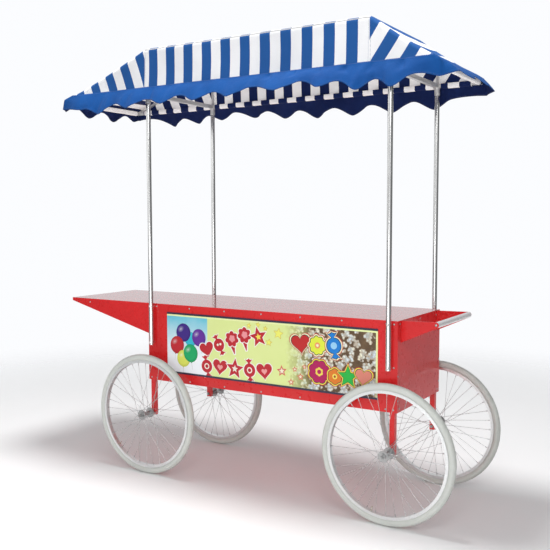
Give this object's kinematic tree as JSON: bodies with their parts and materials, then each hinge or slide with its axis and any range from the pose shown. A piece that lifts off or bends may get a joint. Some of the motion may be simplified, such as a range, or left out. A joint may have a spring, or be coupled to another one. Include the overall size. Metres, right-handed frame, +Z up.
{
  "type": "candy floss and popcorn vending cart",
  "caption": "Wheeled sheet-metal vending cart with a flat serving top, wedge nose, push handle, sliding rear doors and a striped flat-roofed canopy on poles.",
  "frame": {"origin": "on the ground, under the middle of the whole cart's length and depth", "axes": "+X along the cart from the wedge nose to the push handle, -Y towards the customer's side with the sign, +Z up"},
  "size_m": [2.376, 0.788, 2.3119],
  "materials": {
    "red_paint": "glossy red powder coat",
    "stainless": "brushed stainless tube",
    "zinc": "bright zinc-plated fasteners and hubs",
    "pale_alloy": "satin mill aluminium",
    "rim_alloy": "polished rolled rim",
    "pale_tyre": "pale grey rubber",
    "stripe_fabric": "woven polyester, royal blue and white stripes with a blue border",
    "sign_print": "printed gloss sheet",
    "navy_trim": "dark navy edging",
    "black_plastic": "fine-textured moulding"
  },
  "bodies": {
    "cart": {"leg_front_left": "red_paint", "leg_front_right": "red_paint", "leg_rear_left": "red_paint", "leg_rear_right": "red_paint", "base_frame": "red_paint", "top_frame": "red_paint", "floor_panel": "red_paint", "table_top": "red_paint", "nose_shell": "red_paint", "front_panel": "red_paint", "rear_panel": "red_paint", "left_end_panel": "red_paint", "right_end_panel": "red_paint", "front_sign": "sign_print", "sign_trims": "navy_trim", "door_tracks": "pale_alloy", "pole_front_left": "stainless", "pole_front_right": "stainless", "pole_rear_left": "stainless", "pole_rear_right": "stainless", "pole_spacers": "stainless", "pole_bolts": "zinc", "pole_sockets": "pale_alloy", "crossbar_left": "pale_alloy", "crossbar_right": "pale_alloy", "eave_rail_front": "pale_alloy", "eave_rail_rear": "pale_alloy", "eave_rail_left": "pale_alloy", "eave_rail_right": "pale_alloy", "roof_frame": "pale_alloy", "roof_props": "pale_alloy", "hip_rafters": "pale_alloy", "canopy_cover": "stripe_fabric", "handle_arm_front": "red_paint", "handle_arm_rear": "red_paint", "handle_grip": "stainless", "panel_screws": "zinc", "axle_bolts": "zinc", "axle_nuts": "zinc", "bearing_cones": "zinc"},
    "front_left_wheel": {"front_left_tyre": "pale_tyre", "front_left_rim": "rim_alloy", "front_left_spokes": "zinc", "front_left_hub": "zinc"},
    "front_right_wheel": {"front_right_tyre": "pale_tyre", "front_right_rim": "rim_alloy", "front_right_spokes": "zinc", "front_right_hub": "zinc"},
    "rear_left_wheel": {"rear_left_tyre": "pale_tyre", "rear_left_rim": "rim_alloy", "rear_left_spokes": "zinc", "rear_left_hub": "zinc"},
    "rear_right_wheel": {"rear_right_tyre": "pale_tyre", "rear_right_rim": "rim_alloy", "rear_right_spokes": "zinc", "rear_right_hub": "zinc"},
    "left_sliding_door": {"left_door": "red_paint", "left_door_pull": "black_plastic"},
    "right_sliding_door": {"right_door": "red_paint", "right_door_pull": "black_plastic"}
  },
  "joints": [
    {"name": "front_left_wheel_spin", "type": "hinge", "parent": "cart", "child": "front_left_wheel", "pos_m": [-0.576, -0.332, 0.33], "axis": [0, 1, 0], "continuous": true},
    {"name": "front_right_wheel_spin", "type": "hinge", "parent": "cart", "child": "front_right_wheel", "pos_m": [0.858, -0.332, 0.33], "axis": [0, 1, 0], "continuous": true},
    {"name": "rear_left_wheel_spin", "type": "hinge", "parent": "cart", "child": "rear_left_wheel", "pos_m": [-0.576, 0.332, 0.33], "axis": [0, 1, 0], "continuous": true},
    {"name": "rear_right_wheel_spin", "type": "hinge", "parent": "cart", "child": "rear_right_wheel", "pos_m": [0.858, 0.332, 0.33], "axis": [0, 1, 0], "continuous": true},
    {"name": "left_door_slide", "type": "slide", "parent": "cart", "child": "left_sliding_door", "axis": [1, 0, 0], "range_m": [0, 0.63]},
    {"name": "right_door_slide", "type": "slide", "parent": "cart", "child": "right_sliding_door", "axis": [-1, 0, 0], "range_m": [0, 0.63]}
  ]
}
